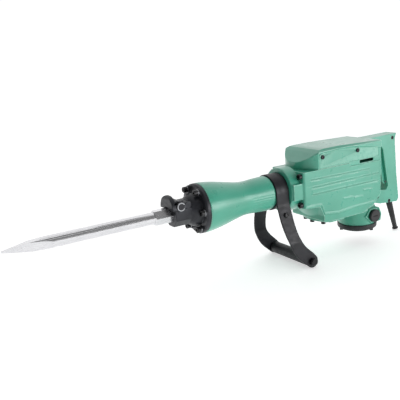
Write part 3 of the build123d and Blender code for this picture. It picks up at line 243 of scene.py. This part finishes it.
# ---------------------------------------------------------------- castings
def baked(obj):
    """A new mesh from the object with its modifiers applied."""
    graph = bpy.context.evaluated_depsgraph_get()
    mesh = bpy.data.meshes.new_from_object(obj.evaluated_get(graph), depsgraph=graph)
    obj.modifiers.clear()
    obj.data = mesh


def smoothstep(value, low, high):
    """0 below low, 1 above high, with a soft turn at both ends."""
    t = np.clip((value - low) / (high - low), 0.0, 1.0)
    return t * t * (3.0 - 2.0 * t)


def stroke(x, z, x0, z0, x1, z1, half, soft=0.7):
    """1 on a straight stroke between two places, 0 away from it."""
    dx, dz = x1 - x0, z1 - z0
    along = np.clip(((x - x0) * dx + (z - z0) * dz) / (dx * dx + dz * dz), 0.0, 1.0)
    away = np.hypot(x - x0 - along * dx, z - z0 - along * dz)
    return 1.0 - smoothstep(away, half - soft / 2, half + soft)


def ring(x, z, x0, z0, radius, half, soft=0.7):
    """1 on a circular ridge round a place, 0 away from it."""
    away = np.abs(np.hypot(x - x0, z - z0) - radius)
    return 1.0 - smoothstep(away, half - soft / 2, half + soft)


# The reliefs below take places p, in millimetres, and normals n, and give how far each point of a
# side moves along Y. Sizes are in millimetres, and outlines run over X and Z.
CASE_SIDE = 56.0         # the crank case's sides lie further out than this
COVER_SIDE = 50.0        # and the crank cover's further out than this
SEAM_Z = 44.0            # joint between crank case and crank cover
GROOVES = ((338, 23.5, 521, 20), (341, 4.7, 551, 4.5), (341, -12.6, 549, -13.4))
DASHES = ((501, -29, 528, -31), (437, -39, 464, -40), (471, -43, 497, -44))
BELT = ((317, 367, 375.5, 418, 466, 560), (-42, -43, -67, -72, -69, -69))
ARCH = ((331, 345, 366, 381, 436, 470, 520, 560), (66, 74, 80.5, 83, 85.5, 83.5, 76, 68))
PLATE_SCREWS = ((374.5, 71.5), (484, 71.5))
GROOVE_DEPTH = 1.1
GROOVE_RIM = 0.25
DASH_HEIGHT = 0.9
BELT_RIDGE = 0.9
BELT_STEP = 1.0
ARCH_HEIGHT = 2.2
SCREW_RIDGE = 1.4
SEAM_DEPTH = 0.8
LINES_HEIGHT = 0.28
LINES_PER_TURN = 45.0
LINES_START = (185, 195)  # they fade in over this stretch of X
LINES_END = (262, 270)    # and out over this one
GROOVE_HALF = 0.9
DASH_HALF = 1.6
RIM_OFFSET = 2.6         # raised rim above each groove
RIM_HALF = 0.8
BELT_WIDTH = 4.5
SEAM_RISE = 2.2          # the seam's groove runs this far above the seam
SEAM_SPAN = (336, 459)
SCREW_RIDGE_R = 8.8
SCREW_RIDGE_HALF = 1.2


def crank_case_relief(p, n):
    """Moulded lines, and a ridge with the side stepped back below it, on both sides."""
    x, y, z = p
    side = smoothstep(np.abs(n[1]), 0.85, 0.97) * (np.abs(y) > CASE_SIDE)
    rise = np.zeros_like(x)
    for x0, z0, x1, z1 in GROOVES:
        rise -= GROOVE_DEPTH * stroke(x, z, x0, z0, x1, z1, GROOVE_HALF)
        rise += GROOVE_RIM * stroke(x, z, x0, z0 + RIM_OFFSET, x1, z1 + RIM_OFFSET, RIM_HALF)
    for x0, z0, x1, z1 in DASHES:
        rise += DASH_HEIGHT * stroke(x, z, x0, z0, x1, z1, DASH_HALF)
    line = np.interp(x, *BELT)
    ridge = smoothstep(z - line, -0.8, 0.8) * smoothstep(line + BELT_WIDTH - z, -1.5, 0.5)
    rise += BELT_RIDGE * ridge
    rise -= BELT_STEP * smoothstep(line - z, -0.8, 0.8)
    return side * rise * np.sign(y)


def crank_cover_relief(p, n):
    """The raised arch over each side plate and a low ridge round each of its screws."""
    x, y, z = p
    side = smoothstep(np.abs(n[1]), 0.6, 0.95) * (np.abs(y) > COVER_SIDE)
    arch = np.interp(x, *ARCH)
    rise = ARCH_HEIGHT * smoothstep(z - arch, -0.6, 0.6)
    groove_z = SEAM_Z + SEAM_RISE
    rise -= SEAM_DEPTH * stroke(x, z, SEAM_SPAN[0], groove_z, SEAM_SPAN[1], groove_z, GROOVE_HALF)
    for x0, z0 in PLATE_SCREWS:
        rise += SCREW_RIDGE * ring(x, z, x0, z0, SCREW_RIDGE_R, SCREW_RIDGE_HALF)
    return side * rise * np.sign(y)


def cylinder_relief(p, n):
    """Fine lengthwise casting lines on the rear half of the case's lower flanks."""
    x, y, z = p
    angle = np.degrees(np.arctan2(z, np.abs(y)))
    flank = smoothstep(np.hypot(n[1], n[2]), 0.8, 0.95)
    flank *= smoothstep(x, *LINES_START) * (1 - smoothstep(x, *LINES_END))
    lines = np.cos(np.radians(angle * LINES_PER_TURN))
    flank *= smoothstep(-angle, -12, -6)
    return LINES_HEIGHT * lines * flank * (np.abs(n[1]) > 0.15) * np.sign(y)


RELIEF = {"crank_case": crank_case_relief, "crank_cover": crank_cover_relief,
          "cylinder_case": cylinder_relief}
# node: (voxel in mm, smoothing passes)
CASTINGS = {
    "crank_case": (1.15, 4), "crank_cover": (1.0, 4), "cylinder_case": (1.0, 4), "motor_housing": (1.0, 4),
    "tail_cover": (0.9, 3), "handle_half_right": (1.0, 3), "handle_half_left": (1.0, 3),
    "front_cover": (0.7, 3), "retainer_lever": (0.6, 4), "side_handle_strap": (0.9, 3),
    "side_handle_saddle": (0.8, 3), "trigger": (0.8, 3), "bottom_cover": (0.8, 3),
}


def make_casting(node):
    """The node's own shape, with the rounded edges and relief that a casting has."""
    voxel, passes = CASTINGS[node]
    source = frame["nodes"][node]
    obj = bpy.data.objects.new(node + "_cast", source.data.copy())
    scene.collection.objects.link(obj)
    obj.matrix_world = source.matrix_world.copy()
    weld = obj.modifiers.new("weld", "WELD")
    weld.merge_threshold = WELD_GAP
    remesh = obj.modifiers.new("remesh", "REMESH")
    remesh.mode = "VOXEL"
    remesh.voxel_size = voxel * MM
    remesh.use_smooth_shade = True
    smooth = obj.modifiers.new("smooth", "SMOOTH")
    smooth.factor = 0.5
    smooth.iterations = passes
    baked(obj)
    if node in RELIEF:
        count = len(obj.data.vertices)
        place = np.empty(count * 3)
        obj.data.vertices.foreach_get("co", place)
        place = place.reshape(-1, 3)
        to_row = np.array(obj.matrix_world)
        row = place @ to_row[:3, :3].T + to_row[:3, 3]
        normal = np.empty(count * 3)
        obj.data.vertices.foreach_get("normal", normal)
        normal = normal.reshape(-1, 3) @ to_row[:3, :3].T
        row[:, 1] += RELIEF[node](row.T / MM, normal.T) * MM
        to_own = np.array(obj.matrix_world.inverted())
        place = row @ to_own[:3, :3].T + to_own[:3, 3]
        obj.data.vertices.foreach_set("co", place.ravel())
    triangles = 2 * len(obj.data.polygons)
    if triangles > MOST_TRIANGLES:
        thin = obj.modifiers.new("thin", "DECIMATE")
        thin.ratio = MOST_TRIANGLES / triangles
        baked(obj)
    obj.data.polygons.foreach_set("use_smooth", np.ones(len(obj.data.polygons), dtype=bool))
    dress(obj, SLOT_OF[node])
    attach(obj, BODY_OF[node])
    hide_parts(node)


for node in CASTINGS:
    make_casting(node)


def round_edges(obj):
    """Narrow bevels on a CAD node that is shown as it is."""
    weld = obj.modifiers.new("weld", "WELD")
    weld.merge_threshold = WELD_GAP
    bevel = obj.modifiers.new("bevel", "BEVEL")
    bevel.width = BEVEL_WIDTH
    bevel.segments = 2
    bevel.limit_method = "ANGLE"
    bevel.angle_limit = BEVEL_ANGLE
    bevel.harden_normals = True


for node, obj in frame["nodes"].items():
    if node not in CASTINGS:
        round_edges(obj)


# ---------------------------------------------------------------- stage
def area_light(name, place, target, size, power):
    """A softbox, with its size in metres and its power in watts."""
    lamp = bpy.data.lights.new(name, "AREA")
    lamp.shape = "RECTANGLE"
    lamp.size, lamp.size_y = size
    lamp.energy = power
    obj = bpy.data.objects.new(name, lamp)
    scene.collection.objects.link(obj)
    obj.location = place
    obj.rotation_mode = "QUATERNION"
    obj.rotation_quaternion = (Vector(target) - Vector(place)).to_track_quat("-Z", "Y")


FLOOR_HALF = 30.0
FLOOR_GAP = 0.5 * MM


def make_floor():
    """A pale floor just under the tool. It glows a little, so that it stays white."""
    half, z = FLOOR_HALF, cad_box[0].z - FLOOR_GAP
    mesh = bpy.data.meshes.new("floor")
    corners = [(-half, -half, z), (half, -half, z), (half, half, z), (-half, half, z)]
    mesh.from_pydata(corners, [], [(0, 1, 2, 3)])
    floor = bpy.data.objects.new("floor", mesh)
    scene.collection.objects.link(floor)
    n = Nodes("pale_floor")
    colour = n.mix(n.noise(3, 2), (0.93, 0.93, 0.93), (0.9, 0.9, 0.9))
    n.shader.inputs["Emission Color"].default_value = (1, 1, 1, 1)
    n.shader.inputs["Emission Strength"].default_value = 0.5
    rough = n.span(n.noise(8, 2), 0, 1, 0.6, 0.7)
    mesh.materials.append(n.finish(colour, rough, n.bump(n.noise(40, 2), 0.02, 0.001)))


def make_ceiling_light():
    """A very soft sun, which lights the floor evenly out to its far edge."""
    sun = bpy.data.lights.new("ceiling", "SUN")
    sun.energy = 0.3
    sun.angle = math.radians(120)
    ceiling = bpy.data.objects.new("ceiling", sun)
    scene.collection.objects.link(ceiling)
    ceiling.rotation_euler = (math.radians(12), 0, 0)


make_floor()
make_ceiling_light()
area_light("side_softbox", (1.7, -2.2, 0.05), (0.35, 0, 0), (1.9, 1.5), 46)
area_light("top_softbox", (0.1, -0.2, 2.6), (0.2, 0, 0), (2.4, 1.8), 7)
area_light("front_softbox", (-2.4, -1.8, 1.2), (0.0, 0, 0), (1.0, 1.0), 1.5)


def make_world():
    """White behind the tool, as the camera sees it, and dim on the near side."""
    studio = bpy.data.worlds.new("studio")
    studio.use_nodes = True
    tree = studio.node_tree
    where = tree.nodes.new("ShaderNodeTexCoord")
    facing = tree.nodes.new("ShaderNodeVectorMath")
    facing.operation = "DOT_PRODUCT"
    facing.inputs[1].default_value = (0.48, 0.87, 0.1)
    level = tree.nodes.new("ShaderNodeMapRange")
    level.inputs["From Min"].default_value = -0.1
    level.inputs["From Max"].default_value = 0.72
    level.inputs["To Min"].default_value = 0.1
    level.inputs["To Max"].default_value = 1.05
    tree.links.new(where.outputs["Generated"], facing.inputs[0])
    tree.links.new(facing.outputs["Value"], level.inputs["Value"])
    tree.links.new(level.outputs["Result"], tree.nodes["Background"].inputs["Strength"])
    tree.nodes["Background"].inputs["Color"].default_value = (1, 1, 1, 1)
    scene.world = studio


make_world()
scene.view_settings.view_transform = "Standard"

# ---------------------------------------------------------------- camera
CAMERA_PLACE = Vector((-0.5293, -1.1129, 0.3259))
CAMERA_TARGET = Vector((0.075, 0.0, 0.0172))
CAMERA_ROLL = math.radians(-5.0)
CAMERA_LENS = 53.42
CAMERA_SENSOR = 36.0


def make_camera():
    data = bpy.data.cameras.new("camera")
    data.lens = CAMERA_LENS
    data.sensor_width = CAMERA_SENSOR
    data.clip_start, data.clip_end = 0.05, 100.0
    camera = bpy.data.objects.new("camera", data)
    scene.collection.objects.link(camera)
    aim = (CAMERA_TARGET - CAMERA_PLACE).to_track_quat("-Z", "Y").to_matrix().to_4x4()
    camera.matrix_world = Matrix.Translation(CAMERA_PLACE) @ aim @ Matrix.Rotation(CAMERA_ROLL, 4, "Z")
    scene.camera = camera


make_camera()
